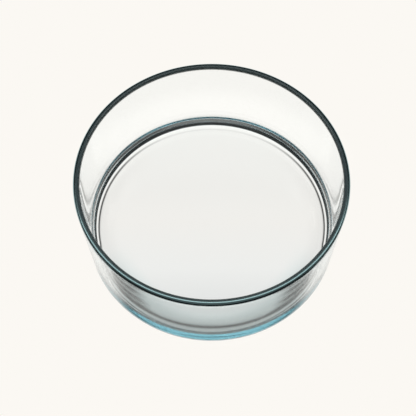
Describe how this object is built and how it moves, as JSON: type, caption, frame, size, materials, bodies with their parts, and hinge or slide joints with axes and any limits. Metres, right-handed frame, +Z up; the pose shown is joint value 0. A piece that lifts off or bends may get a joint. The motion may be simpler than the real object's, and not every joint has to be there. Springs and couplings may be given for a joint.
{
  "type": "evaporating dish",
  "caption": "Round flat-bottomed dish of clear glass with a low, slightly flared wall and a rounded lip, for evaporating or crystallising a liquid.",
  "frame": {"origin": "centre of the base, on the surface that the dish stands on", "axes": "+Z up along the axis of the dish, out of its mouth; the dish is round, so X and Y are any two directions across it"},
  "size_m": [0.1, 0.1, 0.04],
  "materials": {
    "glass": "clear polished glass with a faint blue-green tint"
  },
  "bodies": {
    "root": {"dish": "glass"}
  },
  "joints": []
}
